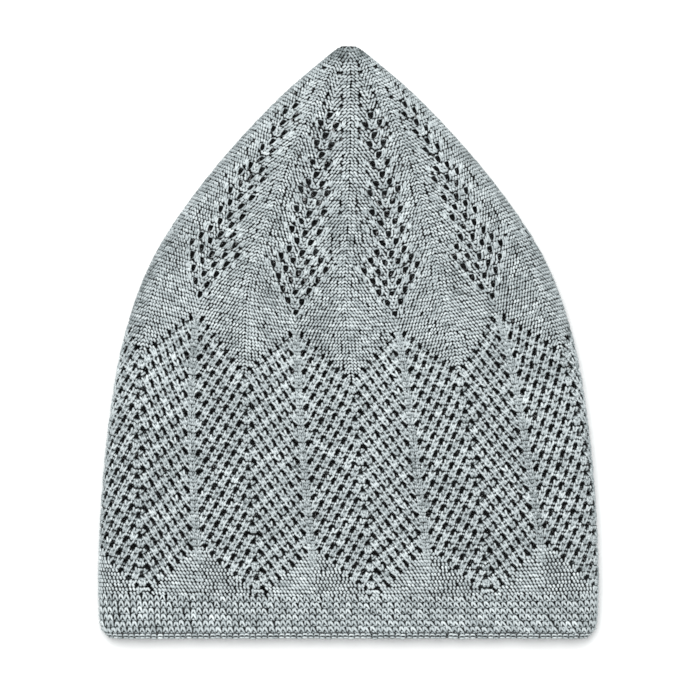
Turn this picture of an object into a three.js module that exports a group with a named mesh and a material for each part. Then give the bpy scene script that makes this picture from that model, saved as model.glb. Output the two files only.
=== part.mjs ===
// Knit prayer cap, lying flat on its back as it is stored: a hollow knitted shell that narrows to a
// blunt tip, with a firmer ridged band round its rim. Millimetres, +Z up, +Y from the rim to the tip.
// The origin is on the resting plane, midway between the rim and the tip.
import * as THREE from "three";

const CAP_HEIGHT = 260;
const BODY_WALL = 1.9;
const BAND_WALL = 2.3;
const BAND_HEIGHT = 16.8;
const KNIT_GAP = 0.3;

// The lying cap from its rim to its tip. up is the height above the rim, half is half the flat width
// from side fold to side fold, and thick is how high the two layers and the air between them stand.
const SECTIONS = [
  { up: 0, half: 105.5, thick: 10.4 },
  { up: 1.6, half: 107.6, thick: 10.7 },
  { up: 5, half: 109.1, thick: 10.9 },
  { up: 17, half: 109.9, thick: 11.2 },
  { up: 28, half: 110, thick: 11.6 },
  { up: 60, half: 108.6, thick: 12.4 },
  { up: 96, half: 105.1, thick: 12.6 },
  { up: 131, half: 98.9, thick: 12.2 },
  { up: 166, half: 86.3, thick: 11.4 },
  { up: 201, half: 63, thick: 10.2 },
  { up: 236, half: 31.6, thick: 8.6 },
  { up: 253.5, half: 11.7, thick: 7 },
  { up: CAP_HEIGHT, half: 3.4, thick: 6.2 },
];

// Each side fold is a half ellipse this many times as deep as the lying cap is thick.
const FOLD_SHARE = 0.72;
const FOLD_STEPS = 12;
const FLAT_STEPS = 9;

const BODY_RINGS = 34;
const BAND_RINGS = 7;
const HOLLOW_TOP = 250;

// The outline as one smooth curve: x is the half width, y the height and z the thickness.
const outline = new THREE.CatmullRomCurve3(
  SECTIONS.map((section) => new THREE.Vector3(section.half, section.up, section.thick)),
  false,
  "centripetal",
);
const OUTLINE_SAMPLES = 800;
const outlinePoints = outline.getPoints(OUTLINE_SAMPLES);

// The half width, the thickness and the slope of the outline at a height above the rim.
function sectionAt(up) {
  const found = outlinePoints.findIndex((point) => point.y >= up);
  const above = Math.max(found, 1);
  const low = outlinePoints[above - 1];
  const high = outlinePoints[above];
  const share = (up - low.y) / (high.y - low.y);
  const here = low.clone().lerp(high, THREE.MathUtils.clamp(share, 0, 1));
  const slope = (high.x - low.x) / (high.y - low.y);
  return { half: here.x, thick: here.z, slope };
}

// One closed ring of points round the cap at a height, set inwards from the outside by inset:
// the upper layer from right to left, the left fold, the underside, then the right fold.
function ringAt(up, inset) {
  const { half, thick, slope } = sectionAt(up);
  const sideInset = inset * Math.hypot(1, slope);
  const foldHeight = thick / 2 - inset;
  const foldDepth = Math.min(thick * FOLD_SHARE, half) - inset;
  const reach = Math.max(half - sideInset, foldDepth);
  const flat = reach - foldDepth;
  const ring = [];
  for (const side of [1, -1]) {
    for (let i = 0; i < FLAT_STEPS; i += 1) {
      const x = side * flat * (1 - (2 * i) / FLAT_STEPS);
      ring.push(new THREE.Vector2(x, side * foldHeight));
    }
    for (let i = 0; i < FOLD_STEPS; i += 1) {
      const turn = (Math.PI * i) / FOLD_STEPS;
      const x = -side * (flat + foldDepth * Math.sin(turn));
      ring.push(new THREE.Vector2(x, side * foldHeight * Math.cos(turn)));
    }
  }
  const along = up - CAP_HEIGHT / 2;
  return ring.map((point) => new THREE.Vector3(point.x, along, point.y + thick / 2));
}

// A closed solid from rings that follow one another: each pair is joined by a strip of triangles.
// Where the run of rings doesn't come back to its start, its first and last rings are capped.
function solidFromRings(rings, comesBack) {
  const count = rings[0].length;
  const points = rings.flat();
  const faces = [];
  const strips = comesBack ? rings.length : rings.length - 1;
  for (let r = 0; r < strips; r += 1) {
    const next = (r + 1) % rings.length;
    for (let i = 0; i < count; i += 1) {
      const j = (i + 1) % count;
      const [a, b] = [r * count + i, r * count + j];
      const [c, d] = [next * count + i, next * count + j];
      faces.push(a, d, b, a, c, d);
    }
  }
  if (!comesBack) {
    for (const end of [0, rings.length - 1]) {
      const middle = points.length;
      const sum = rings[end].reduce((total, point) => total.add(point), new THREE.Vector3());
      points.push(sum.divideScalar(count));
      for (let i = 0; i < count; i += 1) {
        const j = (i + 1) % count;
        const [a, b] = [end * count + i, end * count + j];
        faces.push(...(end === 0 ? [middle, a, b] : [middle, b, a]));
      }
    }
  }
  const geometry = new THREE.BufferGeometry().setFromPoints(points);
  geometry.setIndex(faces);
  geometry.computeVertexNormals();
  return geometry;
}

// Heights from low to high in equal steps of a curve that packs them closer towards high.
function heights(low, high, count) {
  const list = [];
  for (let i = 0; i < count; i += 1) {
    const share = Math.sin((Math.PI / 2) * (i / (count - 1)));
    list.push(THREE.MathUtils.lerp(low, high, share));
  }
  return list;
}

function knitMaterial(name, colour, roughness) {
  return new THREE.MeshStandardMaterial({ name, color: colour, roughness, metalness: 0 });
}

// The side and crown in one: up the inside from the band to the end of the hollow, then back down
// the outside. The run of rings starts at the hollow's end and finishes at the tip.
function capBody() {
  const foot = BAND_HEIGHT + KNIT_GAP;
  const inside = heights(foot, HOLLOW_TOP, BODY_RINGS).reverse();
  const outside = heights(foot, CAP_HEIGHT, BODY_RINGS);
  const rings = [
    ...inside.map((up) => ringAt(up, BODY_WALL)),
    ...outside.map((up) => ringAt(up, 0)),
  ];
  const mesh = new THREE.Mesh(
    solidFromRings(rings, false),
    knitMaterial("grey_knit", "#9ba3a4", 0.85),
  );
  mesh.name = "cap_body";
  return mesh;
}

// The ridged band round the rim: a ring-shaped wall, a little thicker than the body's.
function hemBand() {
  const outside = heights(0, BAND_HEIGHT, BAND_RINGS);
  const inside = [...outside].reverse();
  const rings = [
    ...outside.map((up) => ringAt(up, 0)),
    ...inside.map((up) => ringAt(up, BAND_WALL)),
  ];
  const mesh = new THREE.Mesh(
    solidFromRings(rings, true),
    knitMaterial("grey_ridged_knit", "#9ca5a7", 0.85),
  );
  mesh.name = "hem_band";
  return mesh;
}

const cap = new THREE.Group();
cap.name = "knit_prayer_cap";
cap.add(capBody(), hemBand());

export default cap;
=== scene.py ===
import math
import bpy
import numpy as np
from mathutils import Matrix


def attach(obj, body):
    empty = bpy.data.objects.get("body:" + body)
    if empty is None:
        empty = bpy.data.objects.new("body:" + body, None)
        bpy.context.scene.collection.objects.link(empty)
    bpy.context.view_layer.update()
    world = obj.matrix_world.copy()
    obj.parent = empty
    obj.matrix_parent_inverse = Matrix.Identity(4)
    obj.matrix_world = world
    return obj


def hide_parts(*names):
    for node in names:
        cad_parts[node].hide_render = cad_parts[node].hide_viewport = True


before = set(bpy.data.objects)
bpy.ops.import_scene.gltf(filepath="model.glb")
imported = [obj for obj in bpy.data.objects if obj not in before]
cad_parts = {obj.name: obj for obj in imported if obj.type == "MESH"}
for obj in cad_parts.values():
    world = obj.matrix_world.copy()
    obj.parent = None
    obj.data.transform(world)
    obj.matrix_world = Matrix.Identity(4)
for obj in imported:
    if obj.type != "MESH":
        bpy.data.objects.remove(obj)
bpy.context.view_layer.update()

# The cap as it lies: a cotton bag knitted in one piece and pressed flat, with a rounded fold down each
# side. All of it is knitted on this skin, read from the frame's solids. A place on it is a turn round
# the cap, 0 in the middle of the upper layer, and a row, 0 at the tip and 1 at the rim.
MM = 0.001
FOLD_SHARE = 0.72
ON_TABLE = 0.01 * MM


def outer_rings(names):
    corners = []
    for name in names:
        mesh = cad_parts[name].data
        flat = np.empty(3 * len(mesh.vertices))
        mesh.vertices.foreach_get("co", flat)
        corners.append(flat.reshape(-1, 3))
    corners = np.concatenate(corners)
    along = np.round(corners[:, 1], 6)
    rings = []
    for place in np.unique(along):
        ring = corners[along == place]
        if ring[:, 2].min() < ON_TABLE:
            rings.append((place, ring[:, 0].max(), ring[:, 2].max()))
    return np.array(rings).T


ring_along, ring_half, ring_thick = outer_rings(("hem_band", "cap_body"))

# Angles round a side fold, and the share of the fold's length at which each one comes.
FOLD_STEPS = 61
fold_angles = np.linspace(0, math.pi, FOLD_STEPS)
fold_speed = np.hypot(2 * FOLD_SHARE * np.cos(fold_angles), np.sin(fold_angles))
fold_shares = np.concatenate(([0], np.cumsum(fold_speed[1:] + fold_speed[:-1])))
fold_shares /= fold_shares[-1]


def skin(turn, along, depth):
    half = np.interp(along, ring_along, ring_half)
    thick = np.interp(along, ring_along, ring_thick)
    deep = np.minimum(FOLD_SHARE * thick, half)
    high = thick / 2
    flat = half - deep
    fold = math.pi / 2 * (3 * (deep + high) - np.sqrt((3 * deep + high) * (deep + 3 * high)))
    way = 2 * np.abs(turn) * (2 * flat + fold)
    angle = np.interp((way - flat) / fold, fold_shares, fold_angles)
    level = np.minimum(way, flat) - np.maximum(way - flat - fold, 0)
    x = np.sign(turn) * (level + (deep - depth) * np.sin(angle))
    z = high + (high - depth) * np.cos(angle)
    return np.stack((x, along + 0 * x, z), axis=-1)


# Where each row comes on each line from tip to rim, and how long each row is round the cap.
TURN_STEPS = 101
ROW_STEPS = 521
ALONG_STEPS = 1041
turn_grid = np.linspace(0, 0.5, TURN_STEPS)
row_grid = np.linspace(0, 1, ROW_STEPS)
along_grid = np.linspace(ring_along[-1], ring_along[0], ALONG_STEPS)
line_points = skin(turn_grid[:, None], along_grid[None, :], 0)
line_steps = np.linalg.norm(np.diff(line_points, axis=1), axis=2)
line_reach = np.pad(np.cumsum(line_steps, axis=1), ((0, 0), (1, 0)))
row_along = np.array([np.interp(row_grid * reach[-1], reach, along_grid) for reach in line_reach])


def along_of(turn, row):
    t = np.abs(turn) * 2 * (TURN_STEPS - 1)
    r = np.clip(row, 0, 1) * (ROW_STEPS - 1)
    i = np.minimum(t.astype(int), TURN_STEPS - 2)
    j = np.minimum(r.astype(int), ROW_STEPS - 2)
    t = t - i
    r = r - j
    near = row_along[i, j] * (1 - r) + row_along[i, j + 1] * r
    far = row_along[i + 1, j] * (1 - r) + row_along[i + 1, j + 1] * r
    return near * (1 - t) + far * t


ROUND_STEPS = 241
round_turns = np.linspace(-0.5, 0.5, ROUND_STEPS)
row_rounds = [skin(round_turns, along_of(round_turns, row + 0 * round_turns), 0) for row in row_grid]
row_lengths = [np.linalg.norm(np.diff(points, axis=0), axis=1).sum() for points in row_rounds]


def row_length(row):
    return np.interp(row, row_grid, row_lengths)


# One stitch: a loop of smooth cotton yarn whose two legs show on the face, with the head of the loop
# behind them. A strand swells in its middle, and its ends dive under the next stitch.
# across is in stitch widths, down in stitch heights, sink and girth in thicknesses of the yarn.
V_LEG = np.array((
    # across, down, sink, girth
    (0.42, -0.74, 0.45, 0.0),
    (0.36, -0.46, 0.02, 0.95),
    (0.14, 0.46, 0.02, 0.95),
    (0.08, 0.74, 0.45, 0.0),
))
LOOP_HEAD = np.array((
    # across, down, sink, girth
    (-0.62, -0.40, 1.10, 0.0),
    (0.00, -0.55, 1.20, 1.9),
    (0.62, -0.40, 1.10, 0.0),
))


def mirrored(strand):
    return strand * (-1, 1, 1, 1)


STITCH_PARTS = ("across", "row", "wide", "high", "yarn", "tone", "lean", "skew")
STITCH = np.dtype([(part, float) for part in STITCH_PARTS])


def stitch_row(across, row, wide, high, yarn, tone):
    made = np.zeros(np.broadcast(across, row).size, STITCH)
    made["across"] = across
    made["row"] = row
    made["wide"] = wide
    made["high"] = high
    made["yarn"] = yarn
    made["tone"] = tone
    return made


def stitch_lines(stitches, strands):
    table = np.concatenate(strands)
    field = {part: stitches[part][:, None] for part in STITCH_PARTS}
    across = field["across"] + field["wide"] * (table[:, 0] + field["lean"] * table[:, 1])
    row = field["row"] + field["high"] * (table[:, 1] + field["skew"] * table[:, 0])
    depth = field["yarn"] * (0.5 + table[:, 2])
    girth = field["yarn"] * table[:, 3]
    tone = field["tone"] + 0 * table[:, 2]
    return across, row, depth, girth, tone


# Painted shade: a strand's tone is lowered the deeper it lies, and in the crown also where the side
# folds turn away from the light.
SHADE_DEPTHS = (0.5 * MM, 0.9 * MM, 1.5 * MM, 1.9 * MM, 2.4 * MM)
SHADE_LOSS = (0.0, 0.2, 0.7, 0.7, 0.15)
FOLD_ROWS = (0.45, 0.60)
FOLD_SHADE = (0.12, 0.02)

# The faces of one stitch, with two maps: one along and round each strand for the twist of the yarn,
# and one that lays the strands side by side in a square, for a picture of the colour.
# Its three strands have four, four and three stations, and each strand has four sides.
STRANDS = (4, 4, 3)
SIDES = 4
BAKE_STRIPS = ((0.0, 0.42), (0.58, 1.0), (0.43, 0.57))
BAKE_ENDS = ((0, 1 / 3, 1 / 2, 2 / 3, 1), (0, 0.1, 0.5, 0.9, 1))
BAKE_MARGIN = 0.02


def stitch_faces():
    faces = []
    yarn_map = []
    bake_map = []
    first = 0
    for stations, strip in zip(STRANDS, BAKE_STRIPS):
        ends = np.linspace(0, 1, stations)
        flat_ends = np.interp(ends, BAKE_ENDS[0], BAKE_ENDS[1])
        last = first + 1 + SIDES * (stations - 2)

        def corner(station, side, turned):
            at = first + 1 + SIDES * (station - 1) + side % SIDES
            if station == 0:
                at = first
            if station == stations - 1:
                at = last
            u = turned / SIDES
            yarn_map.append((u, ends[station]))
            bake_map.append((strip[0] + u * (strip[1] - strip[0]), flat_ends[station]))
            return at

        for side in range(SIDES):
            faces.append((
                corner(0, side, side + 0.5),
                corner(1, side + 1, side + 1),
                corner(1, side, side),
            ))
            for station in range(1, stations - 2):
                faces.append((
                    corner(station, side, side),
                    corner(station, side + 1, side + 1),
                    corner(station + 1, side + 1, side + 1),
                    corner(station + 1, side, side),
                ))
            faces.append((
                corner(stations - 1, side, side + 0.5),
                corner(stations - 2, side, side),
                corner(stations - 2, side + 1, side + 1),
            ))
        first = last + 1
    return faces, np.array(yarn_map), np.array(bake_map), first


# All the stitches of one piece as one mesh, each strand a closed tube. Its tone attribute is the yarn's
# tone lowered by painted shade for depth, side folds and inner faces.
def knit(name, turn, row, depth, girth, tone, inner_shade=0.0):
    turn = (turn + 0.5) % 1 - 0.5
    along = along_of(turn, row)
    centre = skin(turn, along, depth)
    outward = skin(turn, along, depth - MM / 2) - centre
    outward /= np.linalg.norm(outward, axis=2, keepdims=True)
    # Painted shade where the crown's side folds face sideways.
    tone = tone - np.interp(row, FOLD_ROWS, FOLD_SHADE) * np.hypot(outward[:, :, 0], outward[:, :, 1])
    points = []
    shades = []
    first = 0
    for stations in STRANDS:
        line = centre[:, first:first + stations]
        ahead = np.gradient(line, axis=1)
        ahead /= np.linalg.norm(ahead, axis=2, keepdims=True)
        beside = np.cross(ahead, outward[:, first:first + stations])
        beside /= np.linalg.norm(beside, axis=2, keepdims=True)
        above = np.cross(beside, ahead)
        deep = depth[:, first:first + stations]
        shade = tone[:, first:first + stations]
        points.append(line[:, 0])
        shades.append(shade[:, 0] - np.interp(deep[:, 0], SHADE_DEPTHS, SHADE_LOSS))
        for station in range(1, stations - 1):
            radius = girth[:, first + station, None] / 2
            for side in range(SIDES):
                angle = 2 * math.pi * side / SIDES
                away = above[:, station] * math.cos(angle) + beside[:, station] * math.sin(angle)
                points.append(line[:, station] + radius * away)
                low = deep[:, station] - radius[:, 0] * math.cos(angle)
                lost = np.interp(low, SHADE_DEPTHS, SHADE_LOSS) + inner_shade * max(-math.cos(angle), 0)
                shades.append(shade[:, station] - lost)
        points.append(line[:, -1])
        shades.append(shade[:, -1] - np.interp(deep[:, -1], SHADE_DEPTHS, SHADE_LOSS))
        first += stations
    points = np.stack(points, axis=1)
    shades = np.stack(shades, axis=1)

    faces, yarn_map, bake_map, corners = stitch_faces()
    count = len(points)
    face_sizes = np.array([len(face) for face in faces])
    loops = np.concatenate(faces)[None, :] + corners * np.arange(count)[:, None]
    starts = np.cumsum(np.tile(face_sizes, count)) - np.tile(face_sizes, count)
    cells = math.ceil(math.sqrt(count))
    lines = math.ceil(count / cells)
    cell = np.stack((np.arange(count) % cells, np.arange(count) // cells), axis=1)
    inside = BAKE_MARGIN + (1 - 2 * BAKE_MARGIN) * bake_map
    bake = (cell[:, None, :] + inside[None, :, :]) / (cells, lines)

    mesh = bpy.data.meshes.new(name)
    mesh.vertices.add(count * corners)
    mesh.vertices.foreach_set("co", points.ravel())
    mesh.loops.add(loops.size)
    mesh.loops.foreach_set("vertex_index", loops.ravel())
    mesh.polygons.add(len(starts))
    mesh.polygons.foreach_set("loop_start", starts)
    mesh.polygons.foreach_set("use_smooth", np.ones(len(starts), bool))
    mesh.attributes.new("tone", "FLOAT", "POINT").data.foreach_set("value", shades.ravel())
    mesh.uv_layers.new(name="yarn").uv.foreach_set("vector", np.tile(yarn_map, (count, 1)).ravel())
    mesh.uv_layers.new(name="OFBake").uv.foreach_set("vector", bake.ravel())
    mesh.update(calc_edges=True)
    piece = bpy.data.objects.new(name, mesh)
    bpy.context.collection.objects.link(piece)
    return piece


def linear(colour):
    parts = [int(colour[i:i + 2], 16) / 255 for i in (1, 3, 5)]
    return [p / 12.92 if p <= 0.04045 else ((p + 0.055) / 1.055) ** 2.4 for p in parts] + [1]


def add_node(tree, kind, sockets=None, **settings):
    made = tree.nodes.new(kind)
    for name, value in settings.items():
        setattr(made, name, value)
    for socket, value in (sockets or {}).items():
        if isinstance(value, bpy.types.NodeSocket):
            tree.links.new(value, made.inputs[socket])
        else:
            made.inputs[socket].default_value = value
    return made


# Mercerised cotton: a cool grey two-ply yarn with a soft lustre. It is a little flecked along each
# strand and faintly cloudy over the cap, and the twist of the plies shows as fine slanting grooves.
# The tone attribute carries painted shade as well as the yarn's own tone, and the ramp takes the lowest
# tones to near black.
SHADES = ((0.0, "#0e1011"), (0.25, "#596364"), (0.5, "#a8b1b3"), (0.75, "#dbe3e4"), (1.0, "#f7fcfc"))
FLECK = 0.9 * MM
FLECK_SHARE = 0.16
CLOUD = 16 * MM
CLOUD_SHARE = 0.09
PLIES = 2
TWISTS = 2
GROOVE = 0.08 * MM
GROOVE_STRENGTH = 0.5
COTTON_ROUGHNESS = 0.46
COTTON_IOR = 1.5
COTTON_SHEEN = 0.12
SHEEN_ROUGHNESS = 0.4


def cotton_yarn(name):
    material = bpy.data.materials.new(name)
    material.use_nodes = True
    tree = material.node_tree
    shader = tree.nodes["Principled BSDF"]
    tone = add_node(tree, "ShaderNodeAttribute", attribute_name="tone")
    place = add_node(tree, "ShaderNodeTexCoord")
    fleck = add_node(
        tree,
        "ShaderNodeTexNoise",
        {"Vector": place.outputs["Object"], "Scale": 1 / FLECK, "Detail": 1.0},
    )
    cloud = add_node(
        tree,
        "ShaderNodeTexNoise",
        {"Vector": place.outputs["Object"], "Scale": 1 / CLOUD, "Detail": 1.0},
    )
    flecked = add_node(
        tree,
        "ShaderNodeMath",
        {0: fleck.outputs["Fac"], 1: 2 * FLECK_SHARE, 2: tone.outputs["Fac"]},
        operation="MULTIPLY_ADD",
    )
    clouded = add_node(
        tree,
        "ShaderNodeMath",
        {0: cloud.outputs["Fac"], 1: 2 * CLOUD_SHARE, 2: flecked.outputs[0]},
        operation="MULTIPLY_ADD",
    )
    centred = add_node(
        tree,
        "ShaderNodeMath",
        {0: clouded.outputs[0], 1: FLECK_SHARE + CLOUD_SHARE},
        operation="SUBTRACT",
    )
    shade = add_node(tree, "ShaderNodeValToRGB", {"Fac": centred.outputs[0]})
    ramp = shade.color_ramp.elements
    while len(ramp) < len(SHADES):
        ramp.new(0.5)
    for stop, (position, colour) in zip(ramp, SHADES):
        stop.position = position
        stop.color = linear(colour)
    tree.links.new(shade.outputs["Color"], shader.inputs["Base Color"])

    strand = add_node(tree, "ShaderNodeUVMap", uv_map="yarn")
    parts = add_node(tree, "ShaderNodeSeparateXYZ", {0: strand.outputs["UV"]})
    round_strand = add_node(
        tree,
        "ShaderNodeMath",
        {0: parts.outputs["X"], 1: 2 * math.pi * PLIES},
        operation="MULTIPLY",
    )
    twist = add_node(
        tree,
        "ShaderNodeMath",
        {0: parts.outputs["Y"], 1: 2 * math.pi * PLIES * TWISTS, 2: round_strand.outputs[0]},
        operation="MULTIPLY_ADD",
    )
    groove = add_node(tree, "ShaderNodeMath", {0: twist.outputs[0]}, operation="SINE")
    bump = add_node(
        tree,
        "ShaderNodeBump",
        {"Height": groove.outputs[0], "Distance": GROOVE, "Strength": GROOVE_STRENGTH},
    )
    tree.links.new(bump.outputs["Normal"], shader.inputs["Normal"])
    shader.inputs["Roughness"].default_value = COTTON_ROUGHNESS
    shader.inputs["IOR"].default_value = COTTON_IOR
    shader.inputs["Sheen Weight"].default_value = COTTON_SHEEN
    shader.inputs["Sheen Roughness"].default_value = SHEEN_ROUGHNESS
    return material


# The body: nine gores of cotton yarn, knitted in one round from the band up to the tip. Each has a leaf
# of eyelets in the crown, where its wales are taken in along its edges, and a chevron of lace down the
# side, which starts highest at the gore's middle line, the spine.
GORES = 9
WALES = 16
YARN = 0.98 * MM
PLAIN_TONE = 0.57
LINE_LENGTH = 272 * MM
CROWN_TIP = 0.031
PLAIN_ROW = 0.0056
LACE_TOP = 0.4925
LACE_COLUMNS = 16
LACE_FALL = 0.0109
LACE_PERIOD = 0.0299
LACE_REPEATS = 13
BODY_END = 0.932

# The knitting leans as it goes up, so the gores' middle lines drift round the cap a little.
GORE_DRIFT = np.array((
    # row, turn
    (0.00, -0.150),
    (0.11, -0.161),
    (0.43, -0.172),
    (0.55, -0.164),
    (0.70, -0.156),
    (0.83, -0.148),
    (1.00, -0.140),
))


def gore_width(row):
    return row_length(row) / GORES


def tilt(stitches, degrees):
    slope = np.tan(np.radians(degrees))
    stitches["lean"] += slope * stitches["high"] * LINE_LENGTH / stitches["wide"]
    return stitches


# True where the lace is, from first repeats under its top eyelets to last under its lowest ones.
def in_lace(across, row, first, last):
    column = np.clip(np.abs(across) * LACE_COLUMNS / gore_width(row), 1, LACE_COLUMNS / 2)
    repeats = (row - LACE_TOP - LACE_FALL * (column - 1)) / LACE_PERIOD
    return (repeats > first) & (repeats < LACE_REPEATS - 1 + last)


# Plain stitches: on either half of a gore both legs of a stitch slant away from the middle line, and
# every other row lies half a leg aside. In the low points over the band all the legs slant one way.
# A half row is filled from the middle outward, and eased a little to end beside the edge.
SLANT_LEG = np.array((
    # across, down, sink, girth
    (0.48, -0.54, 0.85, 0.0),
    (0.38, -0.30, 0.00, 1.06),
    (0.12, 0.30, 0.00, 1.06),
    (0.02, 0.54, 0.85, 0.0),
))
PLAIN_HEAD = np.array((
    # across, down, sink, girth
    (-0.62, -0.40, 1.25, 0.0),
    (0.00, -0.50, 1.50, 1.75),
    (0.62, -0.40, 1.25, 0.0),
))
SHORT_HEAD = np.array((
    # across, down, sink, girth
    (-0.42, -0.40, 1.10, 0.0),
    (0.00, -0.50, 1.30, 1.60),
    (0.42, -0.40, 1.10, 0.0),
))
DRAWN_HEAD = np.array((
    # across, down, sink, girth
    (0.45, -0.30, 0.60, 0.0),
    (0.25, 0.00, 0.70, 0.9),
    (0.05, 0.30, 0.60, 0.0),
))
LEFT = np.array((-0.5, 0, 0, 0))
BEHIND = np.array((0, 0, 0.45, 0))
PLAIN = (SLANT_LEG, SLANT_LEG + LEFT, PLAIN_HEAD)
PLAIN_SHORT = (SLANT_LEG, SLANT_LEG + LEFT, SHORT_HEAD)
PLAIN_DRAWN = (SLANT_LEG, SLANT_LEG + LEFT, DRAWN_HEAD)
RIGHT_LEG = (SLANT_LEG, SLANT_LEG + BEHIND, DRAWN_HEAD)
LEFT_LEG = (SLANT_LEG + LEFT, SLANT_LEG + LEFT + BEHIND, DRAWN_HEAD + LEFT)
LOW_LEANS = (0, -28)
LOW_YARN = 1.1 * MM
LOW_TONE = 0.60
STAGGER = 0.25
EASE = 3
PLAIN_MEETS_LACE = (0.20, -0.06)


def half_row(row, line, side, hand, degrees, yarn, tone):
    wide = gore_width(max(row, LACE_TOP)) / WALES
    room = gore_width(row) / 2 - wide / 2
    first = STAGGER + STAGGER * (line % 2)
    count = max(int(round(room / wide - first)) + 1, 1)
    place = np.minimum(wide * (first + np.arange(count)), max(room, gore_width(row) / 4))
    if count > 1:
        place += (room - place[-1]) * (np.arange(count) / (count - 1)) ** EASE
    else:
        place = np.maximum(place, room)
    made = stitch_row(side * place, row, hand * wide, PLAIN_ROW, yarn, tone)
    return tilt(made, degrees)


def plain_stitches():
    made = []
    for line, row in enumerate(np.arange(CROWN_TIP, BODY_END, PLAIN_ROW)):
        if row < LACE_TOP + LACE_FALL * LACE_COLUMNS / 2:
            made += [half_row(row, line, side, side, 0, YARN, PLAIN_TONE) for side in (-1, 1)]
        else:
            for side, lean in zip((-1, 1), LOW_LEANS):
                made.append(half_row(row, line, side, -1, lean, LOW_YARN, LOW_TONE))
    made = np.concatenate(made)
    return made[~in_lace(made["across"], made["row"], *PLAIN_MEETS_LACE)]


# The lace: ridges of raised fans, each three stitches taken together with its fingers up, climb from the
# spine to the gore's edge, where one column stands upright. Between the ridges lie the eyelets, each
# with a fork of two thin strands beside it and rows of small knobs below.
FAN_LEG = np.array((
    # across, down, sink, girth
    (0.42, -0.55, 0.50, 0.0),
    (0.37, -0.35, 0.00, 0.8),
    (0.20, 0.30, 0.05, 1.15),
    (0.12, 0.54, 0.60, 0.0),
))
FAN_MIDDLE = np.array((
    # across, down, sink, girth
    (0.0, -0.58, 0.40, 0.0),
    (0.0, 0.05, -0.10, 1.15),
    (0.0, 0.56, 0.60, 0.0),
))
FAN = (FAN_LEG, mirrored(FAN_LEG), FAN_MIDDLE)
KNOB_SIDE = np.array((
    # across, down, sink, girth
    (0.42, -0.60, 0.60, 0.0),
    (0.42, -0.22, -0.05, 1.0),
    (0.41, 0.22, -0.05, 1.0),
    (0.40, 0.60, 0.60, 0.0),
))
KNOB_MIDDLE = np.array((
    # across, down, sink, girth
    (0.0, -0.70, 0.60, 0.0),
    (0.0, 0.00, -0.05, 1.0),
    (0.0, 0.70, 0.60, 0.0),
))
KNOBS = (KNOB_SIDE, mirrored(KNOB_SIDE), KNOB_MIDDLE)
LACE_BACK = np.array((
    # across, down, sink, girth
    (-0.74, 0.00, 0.40, 0.0),
    (-0.44, 0.00, 0.20, 1.0),
    (0.44, 0.00, 0.20, 1.0),
    (0.74, 0.00, 0.40, 0.0),
))
LACE_BACK_LOW = np.array((
    # across, down, sink, girth
    (-0.85, 1.00, 0.40, 0.0),
    (0.00, 1.00, 0.20, 1.25),
    (0.85, 1.00, 0.40, 0.0),
))
LACE_BACKS = (LACE_BACK - (0, 1, 0, 0), LACE_BACK, LACE_BACK_LOW)
FORK = (V_LEG, mirrored(V_LEG), LOOP_HEAD * (1, -0.8, 1, 1))
# The backs lie deep between the raised parts, and their lower tone there is painted shade.
LACE_CHART = (
    # flank, strands, phase, aside, wide, high, yarn in mm, tone, tilt, skew
    (1, FAN, 0.490, 0.02, 0.88, 0.42, 1.20, 0.56, -29, 0.2),
    (1, FORK, 0.800, -0.48, 0.86, 0.22, 1.05, 0.57, -29, 0.4),
    (1, KNOBS, 0.600, 0.62, 0.80, 0.16, 1.12, 0.57, -29, 0.6),
    (1, KNOBS, 0.770, 0.38, 0.80, 0.16, 1.12, 0.57, -29, 0.6),
    (1, LACE_BACKS, 0.500, 0.00, 0.56, 0.28, 1.70, 0.50, -29, 0.5),
    (-1, FAN, 0.490, -0.02, 0.88, 0.42, 1.20, 0.56, 31, -0.4),
    (-1, FORK, 0.800, 0.48, 0.86, 0.22, 1.05, 0.57, 31, -0.8),
    (-1, KNOBS, 0.600, -0.62, 0.78, 0.16, 1.12, 0.57, 31, -1.0),
    (-1, KNOBS, 0.770, -0.38, 0.78, 0.16, 1.12, 0.57, 31, -1.0),
    (-1, LACE_BACKS, 0.500, 0.00, 0.56, 0.28, 1.70, 0.50, 31, -0.6),
    (0, FAN, 0.470, 0.00, 1.15, 0.42, 1.25, 0.56, 0, 0.0),
    (0, KNOBS, 0.765, 0.00, 1.00, 0.17, 1.15, 0.57, 0, 0.0),
    (0, LACE_BACKS, 0.500, 0.00, 0.70, 0.26, 1.70, 0.50, 0, 0.0),
)
SPINE_ROOM = 0.3
PEAK_ROOM = 0.2
LACE_MEETS_PLAIN = (-0.12, 0.25)


def lace_columns(flank, aside=0.0):
    half = LACE_COLUMNS // 2
    columns = np.arange(1 - half, half + 1)
    reach = flank * (columns + aside)
    return columns[(reach > SPINE_ROOM) & (reach < half - PEAK_ROOM)] if flank else columns[-1:]


def lace_row(column, repeat, phase):
    return LACE_TOP + LACE_FALL * (abs(column) - 1) + LACE_PERIOD * (repeat + phase)


def lace_part(flank, phase, aside, wide, high, yarn, tone, degrees, skew):
    column, repeat = np.meshgrid(lace_columns(flank, aside), np.arange(LACE_REPEATS))
    column = column.ravel()
    row = lace_row(column, repeat.ravel(), phase)
    pitch = gore_width(row) / LACE_COLUMNS
    made = stitch_row(
        (column + aside) * pitch, row, wide * pitch, high * LACE_PERIOD, yarn * MM, tone
    )
    made["skew"] = skew
    return tilt(made, degrees)[in_lace(made["across"], row, *LACE_MEETS_PLAIN)]


# The spine: two columns of small plain stitches down the gore's middle line.
SPINE_WALE = 0.52
SPINE_YARN = 0.90 * MM
SPINE_TONE = 0.46


def spine_stitches():
    row = np.arange(LACE_TOP - PLAIN_ROW / 2, LACE_TOP + LACE_PERIOD * LACE_REPEATS, PLAIN_ROW)
    wide = SPINE_WALE * gore_width(row) / LACE_COLUMNS
    made = [
        stitch_row(side * wide / 2, row, side * wide, PLAIN_ROW, SPINE_YARN, SPINE_TONE)
        for side in (-1, 1)
    ]
    return np.concatenate(made)


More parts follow.
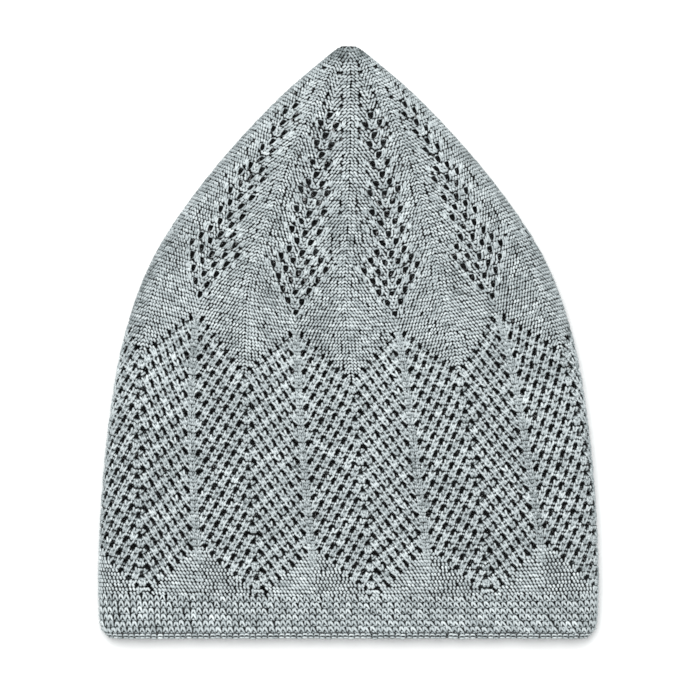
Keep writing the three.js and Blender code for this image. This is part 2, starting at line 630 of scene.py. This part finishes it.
# Eyelets: small openings where the yarn is laid over the needle, so that no leg crosses them. Each row
# of the leaf in the crown has the number of them given here, each with a rim of yarn round it and a
# fat decrease at its outer side.
EYELET_PARTS = ("across", "row", "slant", "stretch", "side")
EYELET = np.dtype([(part, float) for part in EYELET_PARTS])
LACE_EYELETS = (
    # flank, slant, stretch
    (1, -30, 1.05),
    (-1, 40, 1.22),
    (0, 0, 1.00),
)
LEAF_TOP = 0.122
LEAF_ROW = 0.0167
LEAF_SPACING = 5.5 * MM
LEAF_BOW = 0.0045
LEAF_SLANT = 10
LEAF_HOLES = (1, 2, 1, 2, 1, 2, 1, 2, 3, 2, 3, 2, 3, 2, 3, 4, 5, 4, 3, 2, 1)
DECREASE_AWAY = 2.9 * MM
DECREASE_UP = 0.003
DECREASE_WIDE = 1.4 * MM
DECREASE_HIGH = 0.0120
DECREASE_YARN = 0.9 * MM
DECREASE_TONE = 0.55
DECREASE_STRETCH = 1.3
RIM_WIDE = 3.1 * MM
RIM_HIGH = 0.0080
RIM_YARN = 0.9 * MM
RIM_TONE = 0.52
RIM_BAR = np.array((
    # across, down, sink, girth
    (0.26, -0.86, 0.45, 0.0),
    (0.50, -0.38, 0.00, 1.0),
    (0.44, 0.48, 0.00, 1.1),
    (-0.02, 0.95, 0.25, 0.0),
))
RIM_TOP = np.array((
    # across, down, sink, girth
    (-0.50, -0.58, 0.50, 0.0),
    (0.00, -0.78, 0.10, 1.0),
    (0.50, -0.58, 0.50, 0.0),
))
RIM = (RIM_BAR, mirrored(RIM_BAR), RIM_TOP)
LEAF_ROOM = 1.5675 * MM
LACE_ROOM = 0.937 * MM
HEAD_ROOM = 2.487 * MM
SHORT_ROOM = 1.987 * MM
DECREASE_ROOM = 0.7 * MM

# Painted shade: dark loops across the eyelets of the under layer, on its inner face, so that the inside
# stays dark.
BACK_WIDE = 3.4 * MM
BACK_HIGH = 0.0096
BACK_YARN = 1.0 * MM
BACK_SHADE_TONE = 0.12
BACK_LOOP = np.array((
    # across, down, sink, girth
    (-0.50, 0.30, 1.75, 0.0),
    (-0.26, 0.30, 1.75, 1.2),
    (0.26, 0.30, 1.75, 1.2),
    (0.50, 0.30, 1.75, 0.0),
))
BACK_FLOAT = np.array((
    # across, down, sink, girth
    (-0.58, 0.00, 1.75, 0.0),
    (0.00, 0.00, 1.75, 1.4),
    (0.58, 0.00, 1.75, 0.0),
))
SHADE_BACK_LOOPS = (BACK_LOOP, BACK_LOOP * (1, -1, 1, 1), BACK_FLOAT)


def leaf_eyelets():
    made = []
    for line, holes in enumerate(LEAF_HOLES):
        for hole in range(holes):
            place = hole - (holes - 1) / 2
            side = np.sign(place) if place else (-1) ** line
            row = LEAF_TOP + LEAF_ROW * line - LEAF_BOW * abs(place)
            made.append((place * LEAF_SPACING, row, -LEAF_SLANT * side, 1.0, side))
    return np.array(made, EYELET)


def lace_eyelets():
    made = []
    for flank, slant, stretch in LACE_EYELETS:
        for column in lace_columns(flank):
            for repeat in range(LACE_REPEATS):
                row = lace_row(column, repeat, 0)
                across = column * gore_width(row) / LACE_COLUMNS
                made.append((across, row, slant, stretch, flank))
    return np.array(made, EYELET)


def leaf_decreases(holes):
    across = holes["across"] + holes["side"] * DECREASE_AWAY
    row = holes["row"] - DECREASE_UP
    made = stitch_row(across, row, DECREASE_WIDE, DECREASE_HIGH, DECREASE_YARN, DECREASE_TONE)
    return tilt(made, -LEAF_SLANT * holes["side"])


def leaf_rims(holes):
    made = stitch_row(holes["across"], holes["row"], RIM_WIDE, RIM_HIGH, RIM_YARN, RIM_TONE)
    return tilt(made, holes["slant"])


def apart_from(across, row, hole):
    x = across - hole["across"]
    y = (row - hole["row"]) * LINE_LENGTH
    slant = math.radians(hole["slant"])
    length = (x * math.sin(slant) + y * math.cos(slant)) / hole["stretch"]
    breadth = (x * math.cos(slant) - y * math.sin(slant)) * hole["stretch"]
    return np.hypot(length, breadth)


def away_from(stitches, strand, holes, room):
    across, row, _, girth, _ = stitch_lines(stitches, (strand,))
    free = np.ones(len(stitches), bool)
    for hole in holes:
        near = (apart_from(across, row, hole) < room) & (girth > 0)
        free &= ~near.any(axis=1)
    return free


# No two stitches are quite alike, and a few are fat and pale.
SEED = 7
UNEVEN = 0.065
UNEVEN_TONE = 0.055
FAT_SHARE = 0.04
FAT_YARN = 1.15
FAT_TONE = 0.06
rng = np.random.default_rng(SEED)


def handmade(stitches):
    worn = stitches.copy()
    count = len(worn)
    worn["across"] += UNEVEN * worn["wide"] * rng.standard_normal(count)
    worn["row"] += UNEVEN * worn["high"] * rng.standard_normal(count)
    worn["yarn"] *= 1 + UNEVEN * rng.standard_normal(count)
    worn["lean"] += UNEVEN * rng.standard_normal(count)
    worn["tone"] += UNEVEN_TONE * rng.standard_normal(count)
    fat = rng.random(count) < FAT_SHARE
    worn["yarn"][fat] *= FAT_YARN
    worn["tone"][fat] += FAT_TONE
    return worn


# Plain legs are left out at eyelets and decreases, and loop heads near them are short or drawn aside.
leaf_holes = leaf_eyelets()
lace_holes = lace_eyelets()
decreases = leaf_decreases(leaf_holes)
taken_up = np.zeros(len(decreases), EYELET)
taken_up["across"] = decreases["across"]
taken_up["row"] = decreases["row"]
taken_up["stretch"] = DECREASE_STRETCH
plain = plain_stitches()
right, left, head = [
    away_from(plain, strand, leaf_holes, LEAF_ROOM)
    & away_from(plain, strand, lace_holes, LACE_ROOM)
    & away_from(plain, strand, taken_up, DECREASE_ROOM)
    for strand in PLAIN
]
eyelets = np.concatenate((leaf_holes, lace_holes))
head &= away_from(plain, PLAIN_HEAD, eyelets, HEAD_ROOM)
short = away_from(plain, PLAIN_HEAD, eyelets, SHORT_ROOM)
both = right & left
flat = [
    (plain[both & head], PLAIN),
    (plain[both & ~head & short], PLAIN_SHORT),
    (plain[both & ~head & ~short], PLAIN_DRAWN),
    (plain[right & ~left], RIGHT_LEG),
    (plain[left & ~right], LEFT_LEG),
    (spine_stitches(), PLAIN),
    (decreases, FAN),
    (leaf_rims(leaf_holes), RIM),
]
# Painted shade: near-black loops laid behind the eyelets.
shade_backs = stitch_row(eyelets["across"], eyelets["row"], BACK_WIDE, BACK_HIGH, BACK_YARN, BACK_SHADE_TONE)
UPPER_TURN = 0.25


def gore_turn(gore, across, row):
    drift = np.interp(row, GORE_DRIFT[:, 0], GORE_DRIFT[:, 1])
    turn = drift + (gore + across / gore_width(row)) / GORES
    return (turn + 0.5) % 1 - 0.5


def underneath(gore, stitches):
    return stitches[np.abs(gore_turn(gore, stitches["across"], stitches["row"])) > UPPER_TURN]


# Painted shade: the inner faces of the strands get a darker tone, since little light gets into the cap.
INNER_SHADE = 0.45
grey_knit = cotton_yarn("grey_cotton_yarn")
for gore in range(GORES):
    parts = [stitch_lines(handmade(stitches), strands) for stitches, strands in flat]
    for flank, strands, *chart in LACE_CHART:
        parts.append(stitch_lines(handmade(lace_part(flank, *chart)), strands))
    parts.append(stitch_lines(underneath(gore, shade_backs), SHADE_BACK_LOOPS))
    across, row, depth, girth, tone = map(np.concatenate, zip(*parts))
    turn = gore_turn(gore, across, row)
    piece = knit("gore_%d" % (gore + 1), turn, row, depth, girth, tone, INNER_SHADE)
    piece.data.materials.append(grey_knit)
    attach(piece, "root")
    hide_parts("cap_body")


# The tip: the last rounds over all the gores, in the same yarn, drawn together and closed by a few
# fat stitches.
TIP_STITCHES = 6
TIP_FEWEST = 4
TIP_ROW = 0.0055
TIP_HIGH = 0.0070
TIP_YARN = 1.05 * MM
# The tip's tone is lower than the body's: painted shade where the tip rounds away.
TIP_SHADED_TONE = 0.42
GATHER_LEG = np.array((
    # across, down, sink, girth
    (0.30, 1.25, 0.70, 0.0),
    (0.28, 0.60, 0.05, 0.9),
    (0.20, -0.35, 0.50, 1.0),
    (0.05, -0.75, 2.00, 0.0),
))
GATHER_MIDDLE = np.array((
    # across, down, sink, girth
    (0.0, 0.40, 0.80, 0.0),
    (0.0, -0.35, 0.90, 1.0),
    (0.0, -0.80, 2.10, 0.0),
))
GATHER = (GATHER_LEG, mirrored(GATHER_LEG), GATHER_MIDDLE)
tip_pitch = row_length(TIP_ROW) / TIP_STITCHES
tip_across = tip_pitch * (np.arange(TIP_STITCHES) - TIP_STITCHES / 2)
tip_stitches = stitch_row(tip_across, TIP_ROW, tip_pitch, TIP_HIGH, TIP_YARN, TIP_SHADED_TONE)
tip_parts = [stitch_lines(handmade(tip_stitches), GATHER)]
wale = gore_width(LACE_TOP) / WALES
for line, row in enumerate(np.arange(CROWN_TIP - PLAIN_ROW, TIP_ROW, -PLAIN_ROW)):
    count = max(round(row_length(row) / wale), TIP_FEWEST)
    pitch = row_length(row) / count
    across = pitch * (np.arange(count) + STAGGER * (line % 2) - count / 2)
    made = stitch_row(across, row, np.where(across < 0, pitch, -pitch), PLAIN_ROW, TIP_YARN, TIP_SHADED_TONE)
    tip_parts.append(stitch_lines(handmade(made), PLAIN))
across, row, depth, girth, tone = map(np.concatenate, zip(*tip_parts))
tip = knit("tip_gather", across / row_length(row), row, depth, girth, tone, INNER_SHADE)
tip.data.materials.append(grey_knit)
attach(tip, "root")
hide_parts("cap_body")


# The band: ridged knitting in thicker yarn, whose loops show as rounds of arches. It runs on from the
# body, and an inner layer of the same makes the rim firm.
BAND_TOP = 0.9290
BAND_END = 0.9895
BAND_ROUNDS = 6
BAND_STITCHES = 172
BAND_YARNS = (0.98 * MM, 1.16 * MM)
BAND_TONE = 0.60
BAND_DEPTH = 1.2 * MM
BAND_LOWEST = 0.997
BAND_SLANT = 10
BAND_SWAY = 12
BAND_SWAY_TURN = 0.65
ARCH_LEFT = np.array((
    # across, down, sink, girth
    (-0.47, 0.56, 0.65, 0.0),
    (-0.34, 0.14, 0.18, 0.82),
    (-0.14, -0.34, -0.02, 1.00),
    (0.08, -0.66, 0.30, 0.0),
))
ARCH_RIGHT = np.array((
    # across, down, sink, girth
    (-0.12, -0.66, 0.40, 0.0),
    (0.11, -0.33, -0.02, 1.10),
    (0.37, 0.30, 0.14, 0.92),
    (0.55, 0.80, 0.55, 0.0),
))
ARCH_HEAD = LOOP_HEAD * (1.0, -0.8, 0.65, 0.8)
ARCHES = (ARCH_LEFT, ARCH_RIGHT, ARCH_HEAD)


def band_round(row, high, yarn):
    wide = row_length(row) / BAND_STITCHES
    across = wide * (np.arange(BAND_STITCHES) - BAND_STITCHES / 2)
    made = stitch_row(across, row, wide, high, yarn, BAND_TONE)
    turn = np.arange(BAND_STITCHES) / BAND_STITCHES
    slant = BAND_SLANT + BAND_SWAY * np.cos(2 * math.pi * (turn - BAND_SWAY_TURN))
    return tilt(made, slant)


ridged_knit = cotton_yarn("ridged_cotton_yarn")
band_high = (BAND_END - BAND_TOP) / BAND_ROUNDS
band_rows = BAND_TOP + band_high * (np.arange(BAND_ROUNDS) + 0.5)
band_yarns = np.linspace(*BAND_YARNS, BAND_ROUNDS)
arches = [band_round(row, band_high, yarn) for row, yarn in zip(band_rows, band_yarns)]
arches = np.concatenate(arches)
layers = []
for extra_depth in (0, BAND_DEPTH):
    across, row, depth, girth, tone = stitch_lines(handmade(arches), ARCHES)
    layers.append((across, row, depth + extra_depth, girth, tone))
across, row, depth, girth, tone = map(np.concatenate, zip(*layers))
turn = across / row_length(row)
band = knit("hem_band_knit", turn, np.minimum(row, BAND_LOWEST), depth, girth, tone)
band.data.materials.append(ridged_knit)
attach(band, "root")
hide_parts("hem_band")


# The bound edge: the band's last round, cast off in a chain of the same yarn that lies along the rim,
# one link a stitch.
EDGE_ROW = 0.9945
EDGE_HIGH = 0.006
EDGE_TONE = 0.6
EDGE_YARN = 0.95 * MM
EDGE_UPPER = np.array((
    # across, down, sink, girth
    (-0.66, 0.55, 0.55, 0.0),
    (-0.24, -0.32, 0.00, 1.0),
    (0.24, -0.32, 0.00, 1.0),
    (0.66, 0.55, 0.55, 0.0),
))
EDGE_LOWER = np.array((
    # across, down, sink, girth
    (-0.66, 0.45, 1.00, 0.0),
    (-0.30, 0.62, 0.35, 1.0),
    (0.30, 0.65, 0.35, 1.0),
    (0.66, 0.45, 1.00, 0.0),
))
EDGE_INNER = np.array((
    # across, down, sink, girth
    (-0.80, 0.70, 1.50, 0.0),
    (0.00, 0.60, 1.50, 1.2),
    (0.80, 0.70, 1.50, 0.0),
))
EDGE = (EDGE_UPPER, EDGE_LOWER, EDGE_INNER)
edge_wide = row_length(EDGE_ROW) / BAND_STITCHES
edge_across = edge_wide * (np.arange(BAND_STITCHES) - BAND_STITCHES / 2 + 0.5)
edge_stitches = stitch_row(edge_across, EDGE_ROW, edge_wide, EDGE_HIGH, EDGE_YARN, EDGE_TONE)
across, row, depth, girth, tone = stitch_lines(handmade(edge_stitches), EDGE)
edge = knit("bound_edge", across / row_length(row), row, depth, girth, tone)
edge.data.materials.append(ridged_knit)
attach(edge, "root")
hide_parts("hem_band")


# The stage: a plain table of matt white paper, which shows only soft shade.
TABLE_SIZE = 6
PAPER_COLOUR = "#f4f5f5"
PAPER_ROUGHNESS = 0.9
bpy.ops.object.select_all(action="DESELECT")
bpy.ops.mesh.primitive_plane_add(size=TABLE_SIZE, location=(0, 0, 0))
table_top = bpy.context.object
table_top.name = "table_top"
paper = bpy.data.materials.new("white_paper")
paper.use_nodes = True
paper_shader = paper.node_tree.nodes["Principled BSDF"]
paper_shader.inputs["Base Color"].default_value = linear(PAPER_COLOUR)
paper_shader.inputs["Roughness"].default_value = PAPER_ROUGHNESS
table_top.data.materials.append(paper)

# Soft studio light from all round, and a large lamp beyond the tip.
STUDIO_COLOUR = "#f7f8f8"
STUDIO_STRENGTH = 0.72
LIGHT_PLACE = (-0.12, 0.38, 1.2)
LIGHT_SIZE = 0.9
LIGHT_POWER = 16
world = bpy.data.worlds.new("studio")
world.use_nodes = True
studio = world.node_tree.nodes["Background"]
studio.inputs["Color"].default_value = linear(STUDIO_COLOUR)
studio.inputs["Strength"].default_value = STUDIO_STRENGTH
bpy.context.scene.world = world
bpy.ops.object.light_add(type="AREA", location=LIGHT_PLACE)
key = bpy.context.object
key.name = "key_light"
key.data.size = LIGHT_SIZE
key.data.energy = LIGHT_POWER
key.rotation_euler = (
    -math.atan2(LIGHT_PLACE[1], LIGHT_PLACE[2]),
    math.atan2(LIGHT_PLACE[0], math.hypot(LIGHT_PLACE[1], LIGHT_PLACE[2])),
    0,
)

# The camera looks straight down on the lying cap through a long lens.
VIEW_CENTRE = (0.66 * MM, -3.6 * MM)
VIEW_WIDTH = 306.6 * MM
CAMERA_HEIGHT = 1.6
CAP_LEVEL = 9 * MM
SENSOR = 36
bpy.ops.object.camera_add(location=(*VIEW_CENTRE, CAMERA_HEIGHT), rotation=(0, 0, 0))
camera = bpy.context.object
camera.data.sensor_width = SENSOR
camera.data.lens = SENSOR * (CAMERA_HEIGHT - CAP_LEVEL) / VIEW_WIDTH
bpy.context.scene.camera = camera
bpy.context.scene.view_settings.view_transform = "Standard"
